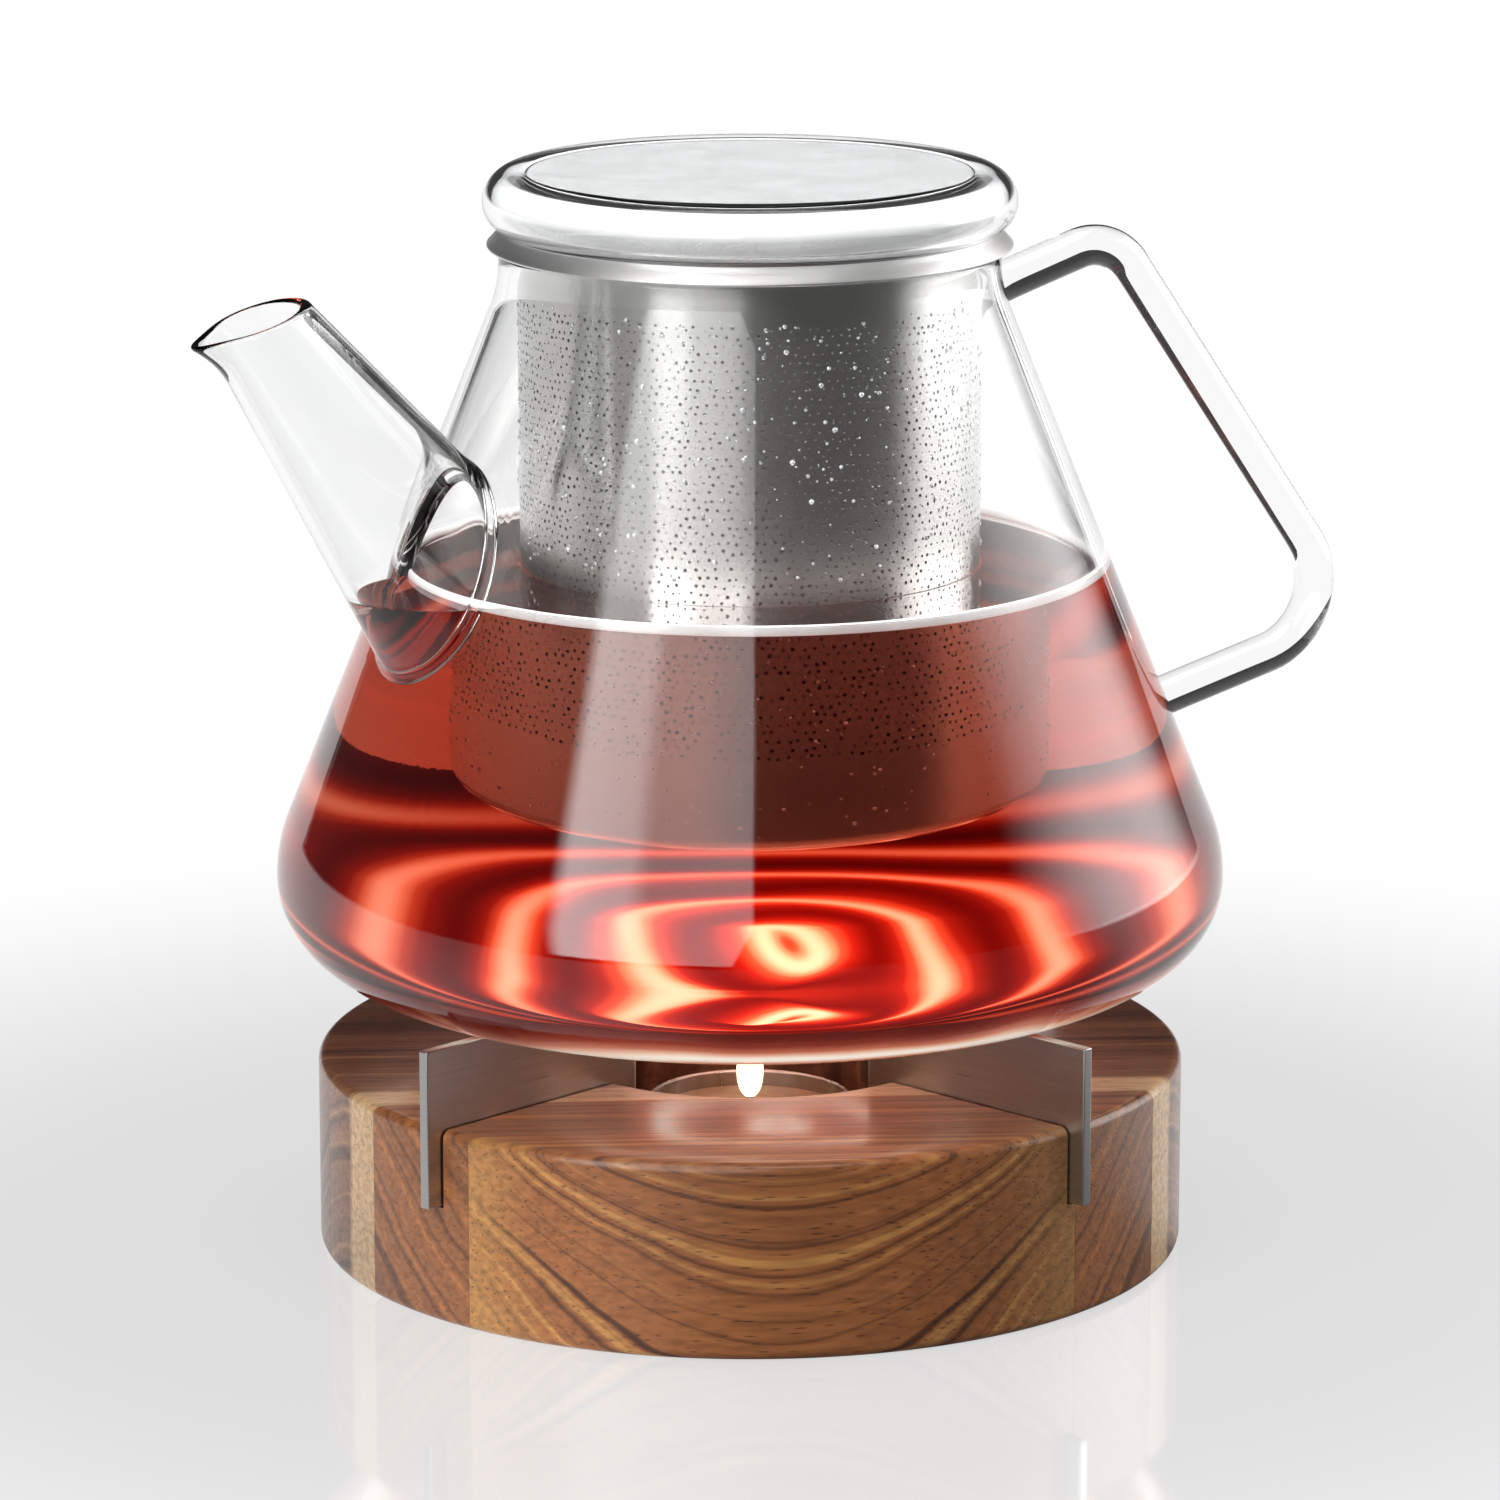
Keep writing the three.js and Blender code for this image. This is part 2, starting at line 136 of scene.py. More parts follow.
def combine(piece, other, how, keep_other=False, crease=35):
    """Joins two closed solids, or cuts the second out of the first, or keeps what they share."""
    step = piece.modifiers.new(how, "BOOLEAN")
    step.operation, step.solver, step.object = how, "MANIFOLD", other
    made = bpy.data.meshes.new_from_object(piece.evaluated_get(bpy.context.evaluated_depsgraph_get()))
    piece.modifiers.remove(step)
    piece.data = made
    made.shade_smooth()
    made.set_sharp_from_angle(angle=np.radians(crease))
    if not keep_other:
        bpy.data.objects.remove(other)
    return piece


def new_material(name):
    """A node material with a Principled shader: returns the material, its nodes and the shader."""
    material = bpy.data.materials.new(name)
    material.use_nodes = True
    nodes = material.node_tree.nodes
    return material, nodes, nodes["Principled BSDF"]


def feed(node, inputs):
    """Fills a node's inputs: an output of another node is linked, and anything else is set as a value."""
    for name, value in inputs.items():
        if isinstance(value, bpy.types.NodeSocket):
            node.id_data.links.new(value, node.inputs[name])
        else:
            node.inputs[name].default_value = value


def add(nodes, kind, inputs=None, **settings):
    """Adds a node of a kind, with its settings, and fills its inputs."""
    node = nodes.new("ShaderNode" + kind)
    for name, value in settings.items():
        setattr(node, name, value)
    feed(node, inputs or {})
    return node


def place_on(nodes):
    """A point's own place on the object, in metres."""
    return add(nodes, "TexCoord").outputs["Object"]


def finish(piece, material, body, slot, *nodes):
    """Gives a piece its material and its body, and hides the CAD nodes it stands for. The slot is not used."""
    piece.data.materials.clear()
    piece.data.materials.append(material)
    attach(piece, body)
    if nodes:
        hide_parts(*nodes)
    return piece


def ramp(nodes, factor, stops):
    """The colour of a ramp with (position, (r, g, b)) stops, at a factor."""
    node = add(nodes, "ValToRGB", {"Fac": factor})
    elements = node.color_ramp.elements
    for _ in stops[2:]:
        elements.new(0.5)
    for element, (place, colour) in zip(elements, stops):
        element.position = place
        element.color = (*colour, 1)
    return node.outputs["Color"]


def maths(nodes, operation, *values):
    """The result of an operation on numbers."""
    return add(nodes, "Math", dict(enumerate(values)), operation=operation).outputs["Value"]


def vectors(nodes, operation, *values):
    """The result of an operation on vectors, which is a number for a length or a dot product."""
    node = add(nodes, "VectorMath", dict(enumerate(values)), operation=operation)
    return node.outputs["Value" if operation in ("LENGTH", "DOT_PRODUCT") else "Vector"]


def carried(nodes, value, start, end, low=0.0, high=1.0, kind="LINEAR"):
    """A value carried from the range of start to end over to the range of low to high."""
    node = add(nodes, "MapRange", {
        "Value": value, "From Min": start, "From Max": end, "To Min": low, "To Max": high},
        interpolation_type=kind)
    return node.outputs["Result"]


def part(nodes, vector, axis):
    """One axis of a vector."""
    return add(nodes, "SeparateXYZ", {"Vector": vector}).outputs[axis]


def noise(nodes, place, scale, **inputs):
    """A noise node at a place, with its scale and any other of its inputs."""
    return add(nodes, "TexNoise", {"Vector": place, "Scale": scale, **inputs})


def blend(nodes, under, over, share, how="MIX"):
    """A colour laid over another by a share."""
    node = add(nodes, "Mix", {"Factor": share, "A": under, "B": over}, data_type="RGBA", blend_type=how)
    return node.outputs["Result"]


def bump(nodes, height, strength, distance):
    """The normal of a relief."""
    node = add(nodes, "Bump", {"Strength": strength, "Distance": distance, "Height": height})
    return node.outputs["Normal"]


def grain_place(nodes, turn, shift, scale):
    """Object coordinates in metres, turned so that X runs along the grain, shifted, then scaled per axis."""
    turned = add(nodes, "Mapping", {"Rotation": (0, 0, -turn), "Location": shift, "Vector": place_on(nodes)})
    return vectors(nodes, "MULTIPLY", turned.outputs["Vector"], scale)


def acacia(name, pith, dark, middle, light, rings, seed, sapwood, flanks):
    """Oiled acacia: growth rings round a pith line that runs along the grain, at pith = (across, up) in
    millimetres; their distance from it drives uneven bands, over fine fibres and short open pores. Sapwood is
    (start, end, colour) for a pale edge across the disc, and flanks the same for both ends along the grain."""
    material, nodes, shader = new_material(name)
    across, up = pith
    sway_size = 0.012
    wander_size = 0.03
    place = grain_place(nodes, grain_turn, (seed, -across * mm, -up * mm), (0.06, 1, 1))
    sway = noise(nodes, place, 20, Detail=3)
    swayed = vectors(nodes, "MULTIPLY_ADD", sway.outputs["Color"], (0, sway_size, sway_size), place)
    distance = vectors(nodes, "LENGTH", vectors(nodes, "MULTIPLY", swayed, (0, 1, 1)))
    bands = add(nodes, "TexNoise", {"Scale": rings, "Detail": 2.5, "Roughness": 0.5, "W": distance},
                noise_dimensions="1D")
    colour = ramp(nodes, bands.outputs["Fac"], [(0.27, dark), (0.43, middle), (0.56, middle), (0.74, light)])
    if flanks:
        start, end, pale = flanks
        along = part(nodes, grain_place(nodes, grain_turn, (0, 0, 0), (1, 1, 1)), "X")
        far = maths(nodes, "MULTIPLY_ADD", sway.outputs["Fac"], wander_size, maths(nodes, "ABSOLUTE", along))
        edge = carried(nodes, far, start * mm + wander_size / 2, end * mm + wander_size / 2, 0, 0.75, "SMOOTHSTEP")
        colour = blend(nodes, colour, (*pale, 1), edge)
    if sapwood:
        start, end, pale = sapwood
        edge = carried(nodes, part(nodes, swayed, "Y"), (start - across) * mm + sway_size / 2,
                       (end - across) * mm + sway_size / 2)
        colour = blend(nodes, colour, (*pale, 1), edge)
    patches = noise(nodes, grain_place(nodes, grain_turn, (seed, 0, 0), (1, 1.6, 1.6)), 13, Detail=1)
    patch = ramp(nodes, patches.outputs["Fac"], [(0.38, (0.74, 0.69, 0.67)), (0.6, (1.16, 1.1, 1.04))])
    fibre = noise(nodes, grain_place(nodes, grain_turn, (seed, 0, 0), (45, 900, 900)), 1, Detail=4)
    streak = ramp(nodes, fibre.outputs["Fac"], [(0.34, (0.5, 0.45, 0.42)), (0.62, (1.15, 1.12, 1.08))])
    pores = add(nodes, "TexVoronoi", {
        "Scale": 1, "Randomness": 1, "Vector": grain_place(nodes, grain_turn, (seed, 0, 0), (160, 1100, 1100))})
    pore = ramp(nodes, pores.outputs["Distance"], [(0.10, (0.34, 0.26, 0.22)), (0.26, (1, 1, 1))])
    for layer, share in ((patch, 0.8), (streak, 0.55), (pore, 0.75)):
        colour = blend(nodes, colour, layer, share, "MULTIPLY")
    feed(shader, {
        "Base Color": colour, "Roughness": carried(nodes, fibre.outputs["Fac"], 0, 1, 0.46, 0.3),
        "Coat Weight": 0.35, "Coat Roughness": 0.12, "Normal": bump(nodes, pore, 0.35, 0.0002)})
    return material


disc = revolved("disc", [
    (0, 0), *arc((base_radius - base_edge, base_edge), (base_edge,) * 2, -90, 0, 8),
    *arc((base_radius - base_edge, base_height - base_edge), (base_edge,) * 2, 0, 90, 8),
    *arc((recess_radius + recess_edge, base_height - recess_edge), (recess_edge,) * 2, 90, 180, 5),
    (recess_radius, recess_floor), (0, recess_floor)], turns=320)
for turn in blade_turns:
    slot_corners = bar_corners(turn, slot_inner, base_radius + 10, -slot_half, slot_half)
    combine(disc, prism("slot", slot_corners, slot_floor, base_height + 10), "DIFFERENCE")

heart, warm, gold, orange = (0.085, 0.03, 0.015), (0.4, 0.15, 0.052), (0.6, 0.3, 0.095), (0.5, 0.19, 0.062)
board_woods = [
    ((-40, -60), heart, (0.2, 0.085, 0.045), (0.36, 0.19, 0.09), 420, 3.1, None, None),
    ((10, -90), heart, (0.2, 0.08, 0.04), (0.34, 0.16, 0.07), 380, 8.2, None, None),
    ((-90, 20), (0.08, 0.034, 0.022), (0.17, 0.075, 0.045), (0.3, 0.15, 0.08), 400, 5.7, None, None),
    ((30, -70), heart, (0.2, 0.075, 0.036), (0.34, 0.16, 0.07), 380, 2.4, None, None),
    ((-30, 95), heart, (0.19, 0.075, 0.038), (0.32, 0.15, 0.07), 400, 6.3, None, None),
    ((60, -60), heart, (0.24, 0.1, 0.05), (0.42, 0.22, 0.1), 360, 9.6, (28.5, 30.5, (0.68, 0.47, 0.27)), None),
    ((-14, -36), (0.16, 0.06, 0.028), (0.34, 0.135, 0.052), orange, 420, 4.9, None, None),
    ((-20, -50), heart, warm, gold, 620, 7.5, None, (38, 56, (0.62, 0.33, 0.11))),
]
lowest = first_joint - board_width * np.ceil((base_radius + first_joint) / board_width)
for i, (pith, dark, middle, light, rings, seed, sapwood, flanks) in enumerate(board_woods):
    side = lowest + i * board_width
    board = copy_of(disc)
    board.name = f"board_{i + 1}"
    strip_corners = bar_corners(grain_turn, -120, 120, side + glue_line / 2, side + board_width - glue_line / 2)
    combine(board, prism("strip", strip_corners, -10, base_height + 10), "INTERSECT")
    wood = acacia(f"acacia_{i + 1}", pith, dark, middle, light, rings, seed, sapwood, flanks)
    finish(board, wood, "warmer", "acacia_dark" if i % 2 else "acacia_light", f"base_board_{i + 1}")
bpy.data.objects.remove(disc)

# ---- Blades
# Four plates of 2 mm stainless sheet, laser cut, brushed on their faces and pushed into the slots.
# They stand 15 mm proud of the wood and carry the pot.
blade_top = 51.0
blade_depth = 29.0
blade_inner = 31.0
blade_outer = 83.4
blade_half = 1.0


def brushed_steel(name, colour, turn, stretch, rough=0.3, sweep=None, depth=0.2):
    """Brushed stainless: long fine scratches, as noise stretched along the brushing, tint it a little, vary
    its roughness and cut a shallow relief. A sweep draws reflections out across brushing that goes round Z."""
    material, nodes, shader = new_material(name)
    if sweep:
        tangent = add(nodes, "Tangent", direction_type="RADIAL", axis="Z")
        feed(shader, {
            "Tangent": tangent.outputs["Tangent"], "Anisotropic": sweep, "Anisotropic Rotation": 0.25})
    scratch = noise(nodes, grain_place(nodes, turn, (0, 0, 0), stretch), 1, Detail=3).outputs["Fac"]
    dull = tuple((1 - 0.7 * depth) * c for c in colour)
    feed(shader, {
        "Metallic": 1, "Base Color": ramp(nodes, scratch, [(0.3, dull), (0.7, colour)]),
        "Roughness": carried(nodes, scratch, 0, 1, rough - 0.35 * depth, rough + 0.45 * depth),
        "Normal": bump(nodes, scratch, depth, 0.00005)})
    return material


for i, turn in enumerate(blade_turns):
    corners = bar_corners(turn, blade_inner, blade_outer, -blade_half, blade_half)
    plate = prism(f"blade_plate_{i + 1}", corners, blade_top - blade_depth, blade_top)
    edge = plate.modifiers.new("edge", "BEVEL")
    edge.width, edge.segments, edge.limit_method = 0.00022, 3, "ANGLE"
    steel = brushed_steel(f"blade_steel_{i + 1}", (0.56, 0.55, 0.54), turn, (60, 60, 2600))
    finish(plate, steel, "warmer", "blade_steel", f"blade_{i + 1}")

# ---- Tealight cup
# A cup of thin aluminium, pressed from one disc, with a rolled rim and a shallow step in its floor.
cup_low, cup_high = (1000 * corner.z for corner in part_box("tealight_cup"))
cup_radius = 19.0
cup_wall = 0.4
cup_corner = 1.4
cup_step = 0.5
step_inner, step_outer = 15.5, 16.2
rolled_rim = 0.5
corner_centre = (cup_radius - 1.7, cup_low + cup_corner)
cup = revolved("tealight_can", [
    (0, cup_low + cup_step), (step_inner, cup_low + cup_step), (step_outer, cup_low),
    *arc(corner_centre, (cup_corner,) * 2, -90, 0, 6), (cup_radius - 0.3, cup_high - 1),
    *arc((cup_radius - rolled_rim, cup_high - rolled_rim), (rolled_rim,) * 2, 0, 180, 8),
    (cup_radius - 1.0, cup_high - 1), *arc(corner_centre, (cup_corner - cup_wall,) * 2, 0, -90, 5),
    (step_outer, cup_low + cup_wall), (step_inner, cup_low + cup_step + cup_wall),
    (0, cup_low + cup_step + cup_wall)], turns=160)
# Painted shade: the aluminium's colour is set darker than bright aluminium, for the dim recess under the pot.
aluminium = brushed_steel("pressed_aluminium_painted_shade", (0.5, 0.47, 0.45), 0, (300, 300, 90), rough=0.28)
finish(cup, aluminium, "tealight", "cup_aluminium", "tealight_cup")

# ---- Wax
# Paraffin wax poured into the cup round the wick. The burning wick has melted a glossy pool in its middle.
wax_top = 1000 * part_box("tealight_wax")[1].z
wax_low = cup_low + 0.95
wax_radius = 17.95
pool_radius = 13.0
wax = revolved("wax_fill", [
    (0, wax_low), (wax_radius - 1, wax_low), (wax_radius, wax_low + 1.6), (wax_radius, wax_top + 0.1),
    (wax_radius - 1.2, wax_top), *arc((pool_radius, wax_top - 0.3), (0.9, 0.3), 90, 180, 5),
    (3, wax_top - 0.62), (1.2, wax_top - 0.4), (0, wax_top - 0.4)], turns=128)
paraffin, nodes, shader = new_material("paraffin")
clouds = noise(nodes, place_on(nodes), 140)
# Painted shade and painted flamelight: the wax is coloured a dim warm tan, darker and warmer than the wax itself.
painted_shade_and_flamelight_wax = ramp(nodes, clouds.outputs["Fac"], [(0.3, (0.3, 0.19, 0.11)), (0.7, (0.4, 0.27, 0.17))])
feed(shader, {
    "Base Color": painted_shade_and_flamelight_wax, "Roughness": 0.22, "Subsurface Weight": 0.4, "Subsurface Radius": (0.006, 0.004, 0.003)})
finish(wax, paraffin, "tealight", "wax", "tealight_wax")

# ---- Wick tab
# A small pressed steel foot, clinched round the wick and drowned in the wax.
tab_low, tab_high = (1000 * corner.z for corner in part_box("wick_tab"))
tab = revolved("wick_foot", [
    (0.95, tab_low + 0.1), (6.6, tab_low + 0.1), (6.9, tab_low + 0.3), (6.6, tab_low + 0.5), (2.4, tab_low + 0.6),
    (1.5, tab_low + 1.3), (1.4, tab_high - 0.2), (1.2, tab_high - 0.05), (0.95, tab_high - 0.2)], turns=48)
finish(tab, brushed_steel("tab_steel", (0.6, 0.6, 0.6), 0, (500, 500, 90)), "tealight", "tab_steel", "wick_tab")

# ---- Wick
# Three strands of braided cotton, waxed, and charred black where they stand in the flame.
wick_low, wick_high = (1000 * corner.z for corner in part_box("tealight_wick"))
wick_radius = 0.68
strands = 3
strand_twist = 26
rise = np.linspace(0, 1, 60)[:, None]
around = np.linspace(0, 2 * np.pi, 18, endpoint=False)[None, :]
strand = wick_radius * (1 + 0.14 * np.cos(strands * around + strand_twist * rise))
strand = strand * np.sqrt(np.clip((1 - rise) / 0.03, 0, 1))
braid = np.stack([strand * np.cos(around), strand * np.sin(around),
                  wick_low + (wick_high - wick_low) * rise + 0 * around], -1)
wick = grid_mesh("wick_braid", braid)
cotton, nodes, shader = new_material("charred_cotton")
charring = carried(nodes, part(nodes, place_on(nodes), "Z"), mm * (wax_top - 0.2), mm * (wax_top + 2.4))
char = ramp(nodes, charring, [(0, (0.55, 0.45, 0.32)), (0.6, (0.03, 0.022, 0.018)), (1, (0.012, 0.01, 0.01))])
feed(shader, {"Base Color": char, "Roughness": 0.85})
finish(wick, cotton, "tealight", "wick_cotton", "tealight_wick")

# ---- Flame
# The candle flame: a slim drop of glowing gas round the top of the wick, brightest in its middle.
flame_low = wick_high - 3.2
flame_height = 16.0
flame_radius = 2.8
rise = np.linspace(0, 1, 48)
swell = 1.75 * np.sqrt(rise) * (1 - rise) ** 0.85 * (1 + 0.35 * (1 - rise))
flame = revolved("flame", np.stack([flame_radius * swell, flame_low + flame_height * rise], -1), turns=48)
glow, nodes, shader = new_material("flame_glow")
nodes.remove(shader)
level = carried(nodes, part(nodes, place_on(nodes), "Z"), mm * flame_low, mm * (flame_low + flame_height))
heat = ramp(nodes, level, [
    (0, (0.5, 0.3, 0.35)), (0.15, (1, 0.62, 0.28)), (0.4, (1, 0.84, 0.55)), (1, (1, 0.72, 0.3))])
light_out = add(nodes, "Emission", {"Strength": 5, "Color": heat})
feed(nodes["Material Output"], {"Surface": light_out.outputs["Emission"]})
finish(flame, glow, "tealight", "wick_cotton")

# ---- Glass pot
# Borosilicate glass, blown into a mould: flat foot, round shoulder, straight cone and short neck with a
# fire-polished mouth. The spout is a drawn cone fused over a hole, and the handle is a bent solid rod.
pot_base = 1000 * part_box("glass_base")[0].z
neck_top = 1000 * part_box("glass_neck")[1].z
glass_wall = 2.0
glass_floor = 2.6
body_radius = 87.2
foot_radius = 65.0
belly = pot_base + 18.4
shoulder_radius = 28.8
neck_radius = 45.6
ease_radius = 20.0
neck_start = pot_base + 131.4
ease_gap = neck_radius + ease_radius - (body_radius - shoulder_radius)
ease_rise = neck_start - belly
ease_reach = np.hypot(ease_gap, ease_rise)
cone_normal = np.arctan2(ease_rise, ease_gap) - np.arccos((shoulder_radius + ease_radius) / ease_reach)


def cone_radius(height, wall=0.0):
    """Radius of the straight cone, set in by a wall, at a height: the touching radius of the shoulder's arc
    less the rise above it times the tangent of the wall's lean."""
    touch = belly + shoulder_radius * np.sin(cone_normal)
    start = body_radius - shoulder_radius * (1 - np.cos(cone_normal))
    return start - (height - touch) * np.tan(cone_normal) - wall / np.cos(cone_normal)


def body_outline(wall, floor):
    """The body's side, set in by an even wall: a quarter ellipse from the foot to the belly, the shoulder's
    arc, the straight cone and the neck's easing arc. The floor inside is gently rippled by the blowing."""
    foot = foot_radius - wall
    lean = np.degrees(cone_normal)
    r = np.linspace(0, foot, 60)[:-1]
    fade = np.clip((foot - r) / 25, 0, 1)
    ripple = (0.45 * np.cos(2 * np.pi * r / 17) * fade if wall > 0 else 0.7 * np.clip(1 - (r / 26) ** 2, 0, 1))
    return [
        *np.stack([r, pot_base + floor + ripple], -1),
        *arc((foot, belly), (body_radius - wall - foot, belly - pot_base - floor), -90, 0, 32),
        *arc((body_radius - shoulder_radius, belly), (shoulder_radius - wall,) * 2, 0, lean, 12)[1:],
        *arc((neck_radius + ease_radius, neck_start), (ease_radius + wall,) * 2, 180 + lean, 180, 10)]


half_wall = glass_wall / 2
lip_centre = (neck_radius - half_wall, neck_top - half_wall)
body_outside = revolved("body_outside", [
    *body_outline(0, 0), *arc(lip_centre, (half_wall,) * 2, 0, 90, 6), (0, neck_top)])
over_lip = 4.0
body_inside = revolved("body_inside", [
    *body_outline(glass_wall, glass_floor), *arc(lip_centre, (half_wall,) * 2, 180, 92, 6),
    (neck_radius - half_wall + 0.02, neck_top + over_lip), (0, neck_top + over_lip)])

spout_angle = np.radians(53.5)
spout_length = 57.0
spout_root = 17.2
spout_mouth = 9.3
spout_wall = 1.8
spout_taper = (spout_root - spout_mouth) / spout_length
spout_height = pot_base + 82.6
spout_axis = np.array([-np.cos(spout_angle), np.sin(spout_angle)])
spout_down = np.array([-spout_axis[1], spout_axis[0]])
mouth_dip = np.radians(18.5)
root_lean = cone_normal - spout_angle
mouth_lean = np.radians(90) - spout_angle - mouth_dip
lip_reach = 3.6
lip_length = 9.0


def spout_points(along, around, wall, extra=0.0):
    """Points on the spout's cone, set in by a wall. A ring at a distance along the axis is an ellipse across
    it, leaning from the body's slope at the root to the mouth's own slope; near the mouth its low side is
    drawn out into a lip. Shapes: along (n, 1), around (1, m)."""
    radius = spout_root - wall + extra
    lean = root_lean + (mouth_lean - root_lean) * np.clip(along / spout_length, 0, 1)
    ends = []
    for side in (1, -1):
        slope = side * np.tan(lean)
        reached = (along + slope * radius) / (1 + slope * spout_taper)
        width = side * (radius - spout_taper * reached)
        ends.append([-cone_radius(spout_height) + spout_axis[0] * reached + spout_down[0] * width,
                     spout_height + spout_axis[1] * reached + spout_down[1] * width])
    mix = (1 + np.cos(around)) / 2
    drawn = lip_reach * np.clip(1 - (spout_length - along) / lip_length, 0, 1) ** 2
    pull = drawn * np.clip(-np.cos(around), 0, 1) ** 8
    x = ends[0][0] + (ends[1][0] - ends[0][0]) * mix - np.cos(mouth_dip) * pull
    z = ends[0][1] + (ends[1][1] - ends[0][1]) * mix - np.sin(mouth_dip) * pull
    y = (radius - spout_taper * along) * np.sin(around)
    return np.stack([x, y, z], -1)


around = np.linspace(0, 2 * np.pi, 96, endpoint=False)[None, :]
edge = spout_wall / 2
turn_in = np.radians(np.linspace(0, 90, 7))[1:, None]
spout_start = -15.0
flare_size = 0.4
flare_length = 7.0
shaft = np.concatenate([[[spout_start]], np.linspace(0, spout_length - edge, 60)[:, None]])
flare = flare_size * np.clip(1 - np.clip(shaft, 0, None) / flare_length, 0, 1) ** 2
tip = spout_length - edge + edge * np.sin(turn_in)
spout_outside = grid_mesh("spout_outside", np.concatenate([
    spout_points(shaft, around, 0, flare), spout_points(tip, around, 0, -edge * (1 - np.cos(turn_in)))]))
spout_inside = grid_mesh("spout_inside", np.concatenate([
    spout_points(shaft, around, spout_wall), spout_points(tip, around, spout_wall, edge * (1 - np.cos(turn_in))),
    spout_points(np.array([[spout_length + over_lip]]), around, spout_wall, edge + 0.02)]))

# The fused ring where spout and body meet: the line in which their middle walls cross, found by halving,
# carried out into a round bead.
search = 12.0
low, high = np.full_like(around, -search), np.full_like(around, search)
for _ in range(40):
    along = (low + high) / 2
    at = spout_points(along, around, spout_wall / 2)
    outside = np.hypot(at[..., 0], at[..., 1]) > cone_radius(at[..., 2], half_wall)
    low, high = np.where(outside, low, along), np.where(outside, along, high)
seam = spout_points(low, around, spout_wall / 2)[0]
forward = np.roll(seam, -1, 0) - np.roll(seam, 1, 0)
forward /= np.linalg.norm(forward, axis=1)[:, None]
outward = np.column_stack([seam[:, :2] / np.hypot(seam[:, 0], seam[:, 1])[:, None] * np.cos(cone_normal),
                           np.full(len(seam), np.sin(cone_normal))])
sideways = np.cross(forward, outward)
bead_radius = 1.75
turn_round = np.linspace(0, 2 * np.pi, 20, endpoint=False)[None, :, None]
bead = grid_mesh("bead", seam[:, None] + bead_radius * (
    np.cos(turn_round) * outward[:, None] + np.sin(turn_round) * sideways[:, None]), ring=True)

rod_radius = 3.8
top_end = neck_start - 11.1
bottom_end = pot_base + 38.2
handle_corners = np.array([
    [cone_radius(top_end) - 8, top_end],
    [cone_radius(top_end + 10.9) + 31.0, top_end + 10.9],
    [cone_radius(bottom_end + 15.0) + 54.3, bottom_end + 15.0],
    [cone_radius(bottom_end) - 8, bottom_end]])
bend_radii = (10.0, 14.0)


def bent_line(corners, radii, spacing):
    """A line of straight runs joined by arcs: each arc is its centre plus its radius turned evenly from one
    run's direction to the next. Returns points and directions, an even spacing apart."""
    runs = np.diff(corners, axis=0)
    runs /= np.linalg.norm(runs, axis=1)[:, None]
    points, start = [], corners[0]
    for corner, radius, before, after in zip(corners[1:], radii, runs, runs[1:]):
        turned = np.arctan2(before[0] * after[1] - before[1] * after[0], before @ after)
        first = corner - before * radius * np.tan(abs(turned) / 2)
        count = int(np.linalg.norm(first - start) / spacing)
        points.append(start + np.linspace(0, 1, count, endpoint=False)[:, None] * (first - start))
        side = np.sign(turned) * np.array([-before[1], before[0]])
        bend = np.linspace(0, abs(turned), 17)[:-1, None]
        points.append(first + radius * (np.sin(bend) * before + (1 - np.cos(bend)) * side))
        start = corner + after * radius * np.tan(abs(turned) / 2)
    count = int(np.linalg.norm(corners[-1] - start) / spacing)
    points.append(start + np.linspace(0, 1, count + 1)[:, None] * (corners[-1] - start))
    points = np.concatenate(points)
    directions = np.gradient(points, axis=0)
    return points, directions / np.linalg.norm(directions, axis=1)[:, None]


weld_swell = 1.7
weld_reach = 1.6
line, heading = bent_line(handle_corners, bend_radii, 2.0)
clear = line[:, 0] - cone_radius(line[:, 1])
rod = rod_radius + weld_swell * np.exp(-np.clip(clear, 0, None) / weld_reach)
turn_round = np.linspace(0, 2 * np.pi, 40, endpoint=False)[None, :]
across = rod[:, None] * np.cos(turn_round)
handle = grid_mesh("handle", np.stack([
    line[:, :1] - across * heading[:, 1:], rod[:, None] * np.sin(turn_round),
    line[:, 1:] + across * heading[:, :1]], -1))

pot_inside = combine(copy_of(body_inside), spout_inside, "UNION", keep_other=True)
pot = combine(combine(body_outside, spout_outside, "UNION"), handle, "UNION")
combine(pot, pot_inside, "DIFFERENCE")
combine(pot, bead, "UNION", crease=50)
pot.name = "pot_glass"


def blown_glass(name, wave):
    """Clear borosilicate glass that lets lamps through, with the faint waves of blown glass in its surface
    and a trace of handling that varies its polish."""
    material, nodes, shader = new_material(name)
    place = place_on(nodes)
    smear = noise(nodes, place, 30)
    swell = noise(nodes, place, wave, Detail=0)
    feed(shader, {
        "Base Color": (0.985, 0.992, 0.99, 1), "Transmission Weight": 1, "IOR": 1.4,
        "Roughness": carried(nodes, smear.outputs["Fac"], 0.45, 0.8, 0.0, 0.03),
        "Normal": bump(nodes, swell.outputs["Fac"], 0.06, 0.0006)})
    open_way = add(nodes, "BsdfTransparent", {"Color": (0.94, 0.95, 0.95, 1)})
    choice = add(nodes, "MixShader", {
        "Fac": add(nodes, "LightPath").outputs["Is Shadow Ray"], 1: shader.outputs["BSDF"],
        2: open_way.outputs["BSDF"]})
    feed(nodes["Material Output"], {"Surface": choice.outputs["Shader"]})
    return material


finish(pot, blown_glass("borosilicate", 45), "pot", "clear_glass", "glass_base", "glass_body", "glass_neck",
       "glass_spout", "glass_handle")

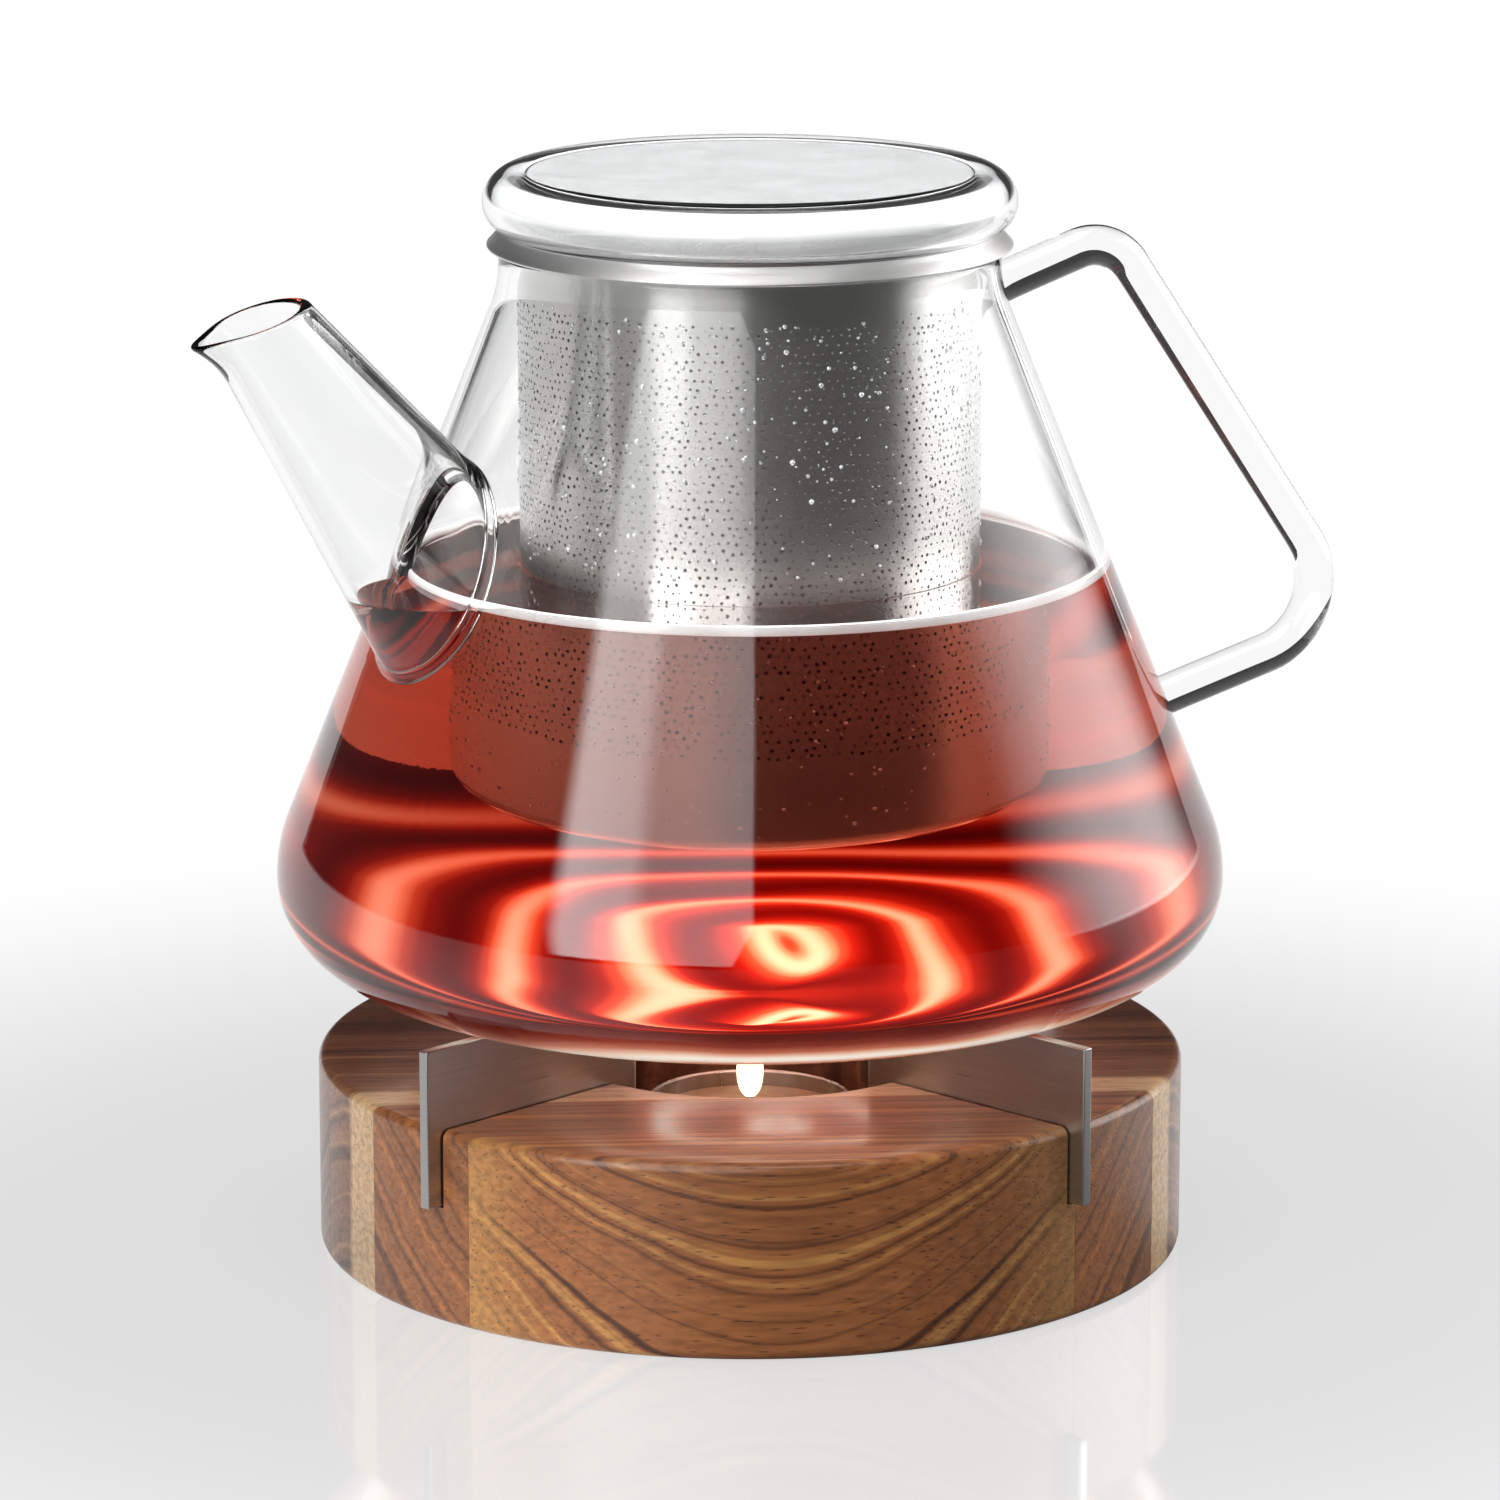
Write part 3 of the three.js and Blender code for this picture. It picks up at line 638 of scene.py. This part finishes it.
# ---- Tea
# Red fruit tea, filled to just above the middle of the spout's hole. It wets the glass and climbs it by a
# millimetre or so, and it stands in the root of the spout at the same level.
tea_level = 127.4
tea_creep = 1.3
creep_reach = 1.1
creep_gap = 0.28
block_radius = 95
block_low = 45
tea_soak = 0.25
wet_radius = cone_radius(tea_level, glass_wall)
r = np.concatenate([np.linspace(0, 40, 12), np.linspace(41, wet_radius - 4, 12),
                    np.linspace(wet_radius - 3.6, wet_radius + 1, 24),
                    np.linspace(wet_radius + 2, block_radius, 8)])[:, None]
turn = np.linspace(0, 2 * np.pi, 192, endpoint=False)[None, :]
from_spout = np.abs(np.angle(np.exp(1j * (turn - np.pi))))
creep = tea_creep * np.exp(-np.clip(wet_radius - r, 0, None) / creep_reach)
creep = creep * np.clip((from_spout - creep_gap) / 0.1, 0, 1)
top = np.stack([r * np.cos(turn), r * np.sin(turn), tea_level + creep], -1)
below = np.stack([block_radius * np.cos(turn), block_radius * np.sin(turn), block_low + 0 * turn], -1)
tea_block = grid_mesh("tea_block", np.concatenate([top, below, 0 * below + [0, 0, block_low]]))
tea = revolved("tea", [
    *body_outline(glass_wall - tea_soak, glass_floor - tea_soak), (neck_radius, neck_top), (0, neck_top)])
combine(tea, grid_mesh("spout_tea", spout_points(shaft, around, spout_wall - tea_soak)), "UNION")
combine(tea, tea_block, "INTERSECT")
bpy.data.objects.remove(body_inside)
bpy.data.objects.remove(spout_inside)
brew, nodes, shader = new_material("red_tea")
feed(shader, {"Base Color": (1, 1, 1, 1), "Transmission Weight": 1, "IOR": 1.33, "Roughness": 0})
depth = add(nodes, "VolumeAbsorption", {"Color": (0.86, 0.44, 0.3, 1), "Density": 41})
feed(nodes["Material Output"], {"Volume": depth.outputs["Volume"]})
finish(tea, brew, "pot", "clear_glass")

# ---- Tea surface
# The flat top of the tea mirrors the bright room at the low angles from which it is seen.
skin_inner = 42.4
skin_outer = wet_radius - 1.2
skin_low, skin_high = tea_level + 0.05, tea_level + 0.12
skin = revolved("tea_surface", [
    (skin_inner, skin_low), (skin_outer, skin_low), (skin_outer, skin_high), (skin_inner, skin_high)], turns=256)
mirror, nodes, shader = new_material("still_surface")
stir = noise(nodes, place_on(nodes), 35)
feed(shader, {
    "Alpha": carried(nodes, stir.outputs["Fac"], 0, 1, 0.5, 0.75), "Base Color": (0.96, 0.9, 0.88, 1),
    "Metallic": 1, "Roughness": 0.04})
finish(skin, mirror, "pot", "clear_glass")

# ---- Waterline
# The tea curls up where it wets the glass. The curl is a thin white line that glows faintly: a painted highlight.
curl = revolved("waterline", arc((wet_radius - 0.75, tea_level + 0.35), (0.5, 1.0), 0, 345, 23), turns=256)
painted_highlight_line, nodes, shader = new_material("painted_highlight_curl")
painted_highlight_noise = noise(nodes, place_on(nodes), 60)
painted_highlight_tone = ramp(nodes, painted_highlight_noise.outputs["Fac"], [(0.35, (0.75, 0.7, 0.69)), (0.6, (0.97, 0.95, 0.94))])
# Painted highlight: a white base colour and a faint glow, not the tea's own colour.
feed(shader, {
    "Base Color": painted_highlight_tone, "Emission Color": painted_highlight_tone, "Emission Strength": 0.35, "Roughness": 0.12})
finish(curl, painted_highlight_line, "pot", "clear_glass")

# ---- Firelight in the tea
# The flame below throws bright rings of light up through the rippled floor of the pot, seen as a thin
# glowing skin on the floor and the curve above it.
ring_pitch = 17.0
ring_sway = 15.0
ring_centre = (3.3, -1.7)
fire_strength = 9
fire_fall = 28
glow_rows = 80


def glow_outline(inset):
    """The lowest rows of the body's inner outline, set in a little further: the floor and its curve."""
    return body_outline(glass_wall + inset, glass_floor + inset)[:glow_rows]


firelight = revolved("firelight", [*glow_outline(0.5), *glow_outline(0.8)[::-1]], turns=160)
rings, nodes, shader = new_material("firelight_rings")
nodes.remove(shader)
place = place_on(nodes)
drift = noise(nodes, place, 24, Detail=1)
moved = vectors(nodes, "MULTIPLY_ADD", drift.outputs["Color"], (mm * ring_sway, mm * ring_sway, 0), place)
shift = tuple(-mm * (c + ring_sway / 2) for c in ring_centre)
reach = vectors(nodes, "LENGTH", vectors(nodes, "MULTIPLY_ADD", moved, (1, 1, 0), (*shift, 0)))
wave = maths(nodes, "SINE", maths(nodes, "MULTIPLY", reach, 2 * np.pi / (mm * ring_pitch)))
bright = ramp(nodes, carried(nodes, wave, -1, 1), [
    (0.0, (0.10, 0.004, 0.003)), (0.4, (0.24, 0.02, 0.012)), (0.7, (0.5, 0.13, 0.07)),
    (0.88, (0.8, 0.5, 0.36)), (1.0, (1, 0.95, 0.85))])
fade = maths(nodes, "EXPONENT", maths(nodes, "MULTIPLY", reach, -fire_fall))
fire = add(nodes, "Emission", {"Color": bright, "Strength": maths(nodes, "MULTIPLY", fade, fire_strength)})
feed(nodes["Material Output"], {"Surface": fire.outputs["Emission"]})
finish(firelight, rings, "pot", "clear_glass")

# ---- Infuser
# A basket of stainless sheet: a rolled wall with a plain band at the top and etched holes below it, a
# pressed base welded in, and a conical rim that rests on the mouth of the pot.
infuser_low = 1000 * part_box("infuser_wall")[0].z
rim_low, rim_top = (1000 * corner.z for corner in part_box("infuser_rim"))
infuser_radius = 42.0
infuser_inner = 41.4
hole_top = 178.0
hole_low = 98.0
holes_round = 156
hole_rows = 52
hole_size = 0.38
hole_jitter = 0.34
rng = np.random.default_rng(7)


def perforated(name, rows, first_row):
    """A band of sheet with holes. Cells are staggered bricks with six corners; each hole is a six-sided ring
    of points about a centre moved a little at random. The outer and the inner skin have the same cells, and
    each hole is lined. Cell (i, j) is at angle 2 pi (j + i / 2) / holes_round and height i times the pitch."""
    pitch = (hole_top - hole_low) / hole_rows
    i = (first_row + np.arange(rows))[:, None, None]
    j = np.arange(holes_round)[None, :, None]
    k = np.arange(6)[None, None, :]
    shift = 0.5 * (i % 2)
    side = 2 * np.pi / holes_round
    corner_turn = (j + shift + np.array([0.5, 0.5, 0, -0.5, -0.5, 0])[k]) * side
    corner_rise = hole_low + (i + np.array([0, 1, 1, 1, 0, 0])[k]) * pitch
    jitter = rng.uniform(-hole_jitter, hole_jitter, (2, rows, holes_round, 1))
    size = hole_size * rng.uniform(0.05, 1, (rows, holes_round, 1)) ** 0.5
    angle = np.radians(-30 + 60 * k)
    hole_turn = (j + shift) * side + (jitter[0] + size * np.cos(angle)) / infuser_radius
    hole_rise = hole_low + (i + 0.5) * pitch + jitter[1] + size * np.sin(angle)
    skins = []
    for radius in (infuser_radius, infuser_inner):
        for a, h in ((corner_turn, corner_rise), (hole_turn, hole_rise)):
            h = np.broadcast_to(h, (rows, holes_round, 6))
            skins.append(np.stack([radius * np.cos(a), radius * np.sin(a), h], -1).reshape(-1, 6, 3))
    cells = rows * holes_round
    base = 6 * np.arange(cells)[:, None]
    here, after = base + np.arange(6), base + (np.arange(6) + 1) % 6
    skip = 6 * cells
    faces = np.concatenate([
        np.stack([here, after, after + skip, here + skip], -1).reshape(-1, 4),
        np.stack([after + 2 * skip, here + 2 * skip, here + 3 * skip, after + 3 * skip], -1).reshape(-1, 4),
        np.stack([here + skip, after + skip, after + 3 * skip, here + 3 * skip], -1).reshape(-1, 4)])
    points = np.concatenate([s.reshape(-1, 3) for s in skins])
    _, first, same = np.unique(np.round(points, 4), axis=0, return_index=True, return_inverse=True)
    mesh = bpy.data.meshes.new(name)
    mesh.from_pydata(points[first] * mm, [], same.reshape(-1)[faces].tolist())
    mesh.shade_smooth()
    mesh.set_sharp_from_angle(angle=np.radians(40))
    return new_object(name, mesh)


round_brushing = (12, 12, 3600)
basket_steel = brushed_steel(
    "basket_steel", (0.64, 0.625, 0.61), 0, round_brushing, rough=0.25, sweep=0.8, depth=0.02)
half_rows = hole_rows // 2
finish(perforated("infuser_mesh_low", half_rows, 0), basket_steel, "infuser", "infuser_steel", "infuser_wall")
finish(perforated("infuser_mesh_high", hole_rows - half_rows, half_rows), basket_steel, "infuser", "infuser_steel")
band = revolved("infuser_band", [
    (infuser_inner, hole_top), (infuser_radius, hole_top), (infuser_radius, rim_top - 0.4),
    (infuser_radius - 0.3, rim_top - 0.1), (infuser_inner, rim_top - 0.4)], turns=312)
finish(band, basket_steel, "infuser", "infuser_steel")
collar_foot, collar_edge, collar_top = 46.6, 47.35, 45.1
rim = revolved("infuser_collar", [
    (infuser_radius + 0.1, rim_low + 0.1), (collar_foot, rim_low + 0.1),
    *arc((collar_edge, rim_low + 0.4), (0.35, 0.35), -90, 30, 5),
    *arc((collar_top, rim_top - 0.3), (0.3, 0.3), 30, 90, 4), (infuser_radius + 0.1, rim_top)], turns=256)
# The collar has its own copy of the basket's steel, lighter and rougher; its lighter colour is painted light, to
# brighten it.
collar_steel_painted_light = brushed_steel("collar_steel_painted_light", (0.72, 0.71, 0.7), 0, round_brushing, rough=0.42, depth=0.1)
finish(rim, collar_steel_painted_light, "infuser", "infuser_steel", "infuser_rim")
dish_corner = 2.6
sheet = 0.6
dish_step = 0.7
bend = (infuser_radius - dish_corner, infuser_low + dish_corner)
dish = revolved("infuser_dish", [
    (0, infuser_low + dish_step), (36, infuser_low + dish_step), (37, infuser_low),
    *arc(bend, (dish_corner,) * 2, -90, 0, 10), (infuser_radius, hole_low), (infuser_inner, hole_low),
    *arc(bend, (dish_corner - sheet,) * 2, 0, -90, 10), (37.2, infuser_low + sheet),
    (36.2, infuser_low + dish_step + sheet), (0, infuser_low + dish_step + sheet)], turns=312)
finish(dish, basket_steel, "infuser", "infuser_steel", "infuser_base")

# ---- Drops
# Steam has settled as fine drops on the cool steel above the tea, and small bubbles cling to it below.
def drops(name, count, low, high, smallest, largest):
    """Low round caps on the infuser's wall: rings of eight points (s sin b cos a, s sin b sin a) across and
    0.6 s cos b out, for a size s, laid with its own axis outwards at a random angle and height."""
    turn, height = rng.uniform(0, 2 * np.pi, (count, 1, 1)), rng.uniform(low, high, (count, 1, 1))
    size = smallest + (largest - smallest) * rng.uniform(0, 1, (count, 1, 1)) ** 2.5
    a = np.linspace(0, 2 * np.pi, 8, endpoint=False)[None, None, :]
    b = np.radians([90, 55, 20])[None, :, None]
    side, rise = size * np.sin(b) * np.cos(a), size * np.sin(b) * np.sin(a)
    out = infuser_radius + 0.02 + 0.6 * size * np.cos(b) + 0 * a
    points = np.stack([out * np.cos(turn) - side * np.sin(turn), out * np.sin(turn) + side * np.cos(turn),
                       height + rise], -1)
    first = 24 * np.arange(count)[:, None, None]
    row, column = np.arange(2)[None, :, None], np.arange(8)[None, None, :]
    here, after = first + 8 * row + column, first + 8 * row + (column + 1) % 8
    walls = np.stack([here, after, after + 8, here + 8], -1).reshape(-1, 4)
    tops = (first[:, 0] + 16 + np.arange(8)).tolist()
    feet = (first[:, 0] + np.arange(8)[::-1]).tolist()
    mesh = bpy.data.meshes.new(name)
    mesh.from_pydata(points.reshape(-1, 3) * mm, [], walls.tolist() + tops + feet)
    mesh.shade_smooth()
    return new_object(name, mesh)


water, nodes, shader = new_material("water_drop")
shade = noise(nodes, place_on(nodes), 900)
wet = ramp(nodes, shade.outputs["Fac"], [(0.35, (0.45, 0.45, 0.45)), (0.6, (0.95, 0.95, 0.95))])
feed(shader, {"Base Color": wet, "Roughness": 0.06, "Metallic": 0.6})
steam_drops = drops("steam_drops", 900, tea_level + 3, hole_top + 1, 0.16, 0.55)
finish(steam_drops, water, "infuser", "infuser_steel")
finish(drops("tea_bubbles", 700, infuser_low + 3, tea_level - 2, 0.14, 0.42), water, "infuser", "infuser_steel")

# ---- Lid
# A hollow disc of blown glass with a round edge and a flat top, drawn in below to a plug that drops into the
# infuser and holds the lid while pouring.
lid_edge = 5.7
lid_wall = 1.8
lid_centre = neck_radius + 2.9 - lid_edge
lid_base = rim_top + 0.05
seat = neck_radius - 0.3 - lid_centre
lid_middle = lid_base + np.sqrt(lid_edge**2 - seat**2)
lid_disc = 1000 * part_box("glass_lid")[1].z - 0.5
lid_ceiling = lid_disc - lid_wall
inner_edge = lid_edge - lid_wall
plug = infuser_inner - 0.6
plug_low = lid_base - 8
disc_turn = 180 - np.degrees(np.arcsin((lid_disc - lid_middle) / lid_edge))
ceiling_turn = 180 - np.degrees(np.arcsin((lid_ceiling - lid_middle) / inner_edge))
seat_turn = -np.degrees(np.arcsin((lid_middle - lid_base) / lid_edge))
ceiling_end = lid_centre + inner_edge * np.cos(np.radians(ceiling_turn))
disc_end = lid_centre + lid_edge * np.cos(np.radians(disc_turn))
root_inner, root_outer = 0.8, 1.2
flat_shares = (0, 0.5, 0.9, 0.985)
root_start = plug - lid_wall + root_inner
lid = revolved("lid_glass", [
    *((share * ceiling_end, lid_ceiling) for share in flat_shares),
    *arc((lid_centre, lid_middle), (inner_edge,) * 2, ceiling_turn, -90, 28),
    (root_start, lid_middle - inner_edge),
    *arc((root_start, lid_middle - inner_edge - root_inner), (root_inner,) * 2, 90, 180, 5),
    *arc((plug - lid_wall / 2, plug_low + lid_wall / 2), (lid_wall / 2,) * 2, -180, 0, 10),
    (plug, lid_base - root_outer), *arc((plug + root_outer, lid_base - root_outer), (root_outer,) * 2, 180, 90, 5),
    *arc((lid_centre, lid_middle), (lid_edge,) * 2, seat_turn, disc_turn, 40),
    *((share * disc_end, lid_disc) for share in flat_shares[::-1])], crease=25)
finish(lid, blown_glass("lid_borosilicate", 60), "lid", "clear_glass", "glass_lid", "lid_plug")

# ---- Steam on the lid
# Steam from the tea settles on the underside of the lid as a cloudy film, which is given a faint white glow of
# painted light.
def steamed(inset):
    """The lid's inner outline, set in a little further, from its middle to halfway down its edge."""
    inner = inner_edge - inset
    start = 180 - np.degrees(np.arcsin((lid_ceiling - inset - lid_middle) / inner))
    flat = lid_centre + inner * np.cos(np.radians(start))
    return [*((share * flat, lid_ceiling - inset) for share in flat_shares),
            *arc((lid_centre, lid_middle), (inner, inner), start, -50, 16)]


film = revolved("lid_steam", [*steamed(0.1), *steamed(0.25)[::-1]], turns=160)
steam, nodes, shader = new_material("steam_film_painted_glow")
clouds = noise(nodes, place_on(nodes), 45, Detail=5, Distortion=1.2)
density = carried(nodes, clouds.outputs["Fac"], 0.3, 0.7, 0.7, 0.95)
thin = carried(nodes, part(nodes, place_on(nodes), "Z"), mm * (lid_ceiling - 4), mm * (lid_ceiling - 0.6), 0.3)
# Painted light: the white emission makes the film glow faintly.
feed(shader, {
    "Base Color": (0.94, 0.94, 0.95, 1), "Roughness": 0.5, "Emission Color": (1, 1, 1, 1),
    "Emission Strength": 0.25, "Alpha": maths(nodes, "MULTIPLY", density, thin)})
finish(film, steam, "lid", "clear_glass")

# ---- Table
# A pale glossy table top that runs on behind the object as its backdrop. It glows white further away, and
# what it throws back onto the object is bright behind it and dim in front.
camera_turn = np.radians(-27)
camera_rise = np.radians(13.2)
studio_back = (-np.sin(camera_turn), np.cos(camera_turn), 0)
dark_turn = camera_turn + np.radians(36)
dark_side = (np.sin(dark_turn), -np.cos(dark_turn), 0)
table_half = 6000.0
table_depth = 12
table = prism("table", bar_corners(0, -table_half, table_half, -table_half, table_half), -table_depth, 0)


def graded(nodes, level, direction, darkest):
    """A brightness level, dimmed down to the darkest for directions near the dark side of the room."""
    facing = vectors(nodes, "DOT_PRODUCT", direction, dark_side)
    return maths(nodes, "MULTIPLY", level, carried(nodes, facing, 0.5, 0.82, 1, darkest, "SMOOTHSTEP"))


white_top, nodes, shader = new_material("white_table")
feed(shader, {
    "Base Color": (0.1, 0.1, 0.1, 1), "Roughness": 0.06, "IOR": 1.8, "Emission Color": (1, 1, 1, 1),
    "Emission Strength": 0.64})
place = place_on(nodes)
fade = carried(nodes, vectors(nodes, "LENGTH", place), 0.12, 0.34, kind="SMOOTHSTEP")
white = add(nodes, "Emission", {"Strength": 1.02})
away = add(nodes, "MixShader", {"Fac": fade, 1: shader.outputs["BSDF"], 2: white.outputs["Emission"]})
ahead = vectors(nodes, "DOT_PRODUCT", place, studio_back)
depth = carried(nodes, ahead, -0.3, 0.25, 0.45, 1.0, "SMOOTHSTEP")
bounce = add(nodes, "Emission", {"Strength": graded(nodes, depth, vectors(nodes, "NORMALIZE", place), 0.2)})
by_ray = add(nodes, "MixShader", {
    "Fac": add(nodes, "LightPath").outputs["Is Camera Ray"], 1: bounce.outputs["Emission"],
    2: away.outputs["Shader"]})
feed(nodes["Material Output"], {"Surface": by_ray.outputs["Shader"]})
table.data.materials.append(white_top)

# ---- Studio
# A broad soft light on the left of the camera, a second one on the right and behind, and a soft sky of light
# all round, which is brightest behind the object.
def towards(turn, rise):
    """The unit vector from the object to a point turned from the camera to its right, and raised."""
    a = camera_turn + turn
    return np.array([np.sin(a) * np.cos(rise), -np.cos(a) * np.cos(rise), np.sin(rise)])


def aim(thing, back, place):
    """Puts a lamp or camera in its place, turned upright, so that it faces away from the direction back."""
    right = np.cross([0, 0, 1], back)
    right /= np.linalg.norm(right)
    up = np.cross(back, right)
    thing.matrix_world = Matrix([[right[k], up[k], back[k], place[k]] for k in range(3)] + [[0, 0, 0, 1]])


def softbox(name, turn, rise, distance, width, height, power, profile):
    """A broad area light that faces the object, at a turn and rise in degrees and a distance in metres. Its
    brightness across its width follows the profile: (share of the width, brightness) stops."""
    data = bpy.data.lights.new(name, "AREA")
    data.shape, data.size, data.size_y = "RECTANGLE", width, height
    data.energy = power
    data.use_nodes = True
    nodes = data.node_tree.nodes
    across = part(nodes, add(nodes, "NewGeometry").outputs["Parametric"], "X")
    shade = ramp(nodes, across, [(share, (level,) * 3) for share, level in profile])
    shade.node.color_ramp.interpolation = "EASE"
    feed(nodes["Emission"], {"Color": shade})
    back = towards(np.radians(turn), np.radians(rise))
    aim(new_object(name, data), back, distance * back + [0, 0, 0.1])


key_profile = [(0, 0), (0.12, 1), (0.38, 0.85), (0.52, 0.38), (0.97, 0.42), (1, 0)]
softbox("key_light", -26, 26, 1.6, 1.46, 1.5, 34, key_profile)
softbox("side_light", 107, 15, 1.6, 2.4, 1.2, 40, [(0, 0), (0.45, 0.8), (0.6, 0.8), (1, 0)])
softbox("top_light", 0, 86, 1.6, 1.2, 1.2, 24, [(0, 1), (1, 1)])

world = bpy.data.worlds.new("studio")
bpy.context.scene.world = world
world.use_nodes = True
nodes = world.node_tree.nodes
direction = add(nodes, "TexCoord").outputs["Generated"]
ahead = vectors(nodes, "DOT_PRODUCT", direction, studio_back)
spread = carried(nodes, ahead, -0.9, 0.3, 0.62, 1.0, "SMOOTHSTEP")
seen = add(nodes, "LightPath").outputs["Is Camera Ray"]
feed(nodes["Background"], {"Strength": maths(nodes, "MAXIMUM", seen, graded(nodes, spread, direction, 0.25))})

# ---- Camera
# A long lens, a little above the object, turned towards the spout's side.
target = np.array([0, 0, 0.0918])
camera_distance = 1.291
camera_data = bpy.data.cameras.new("camera")
camera_data.sensor_width = 36
camera_data.lens = 168.4
camera = new_object("camera", camera_data)
back = towards(0, camera_rise)
aim(camera, back, target + camera_distance * back)
bpy.context.scene.camera = camera
bpy.context.scene.view_settings.view_transform = "Standard"
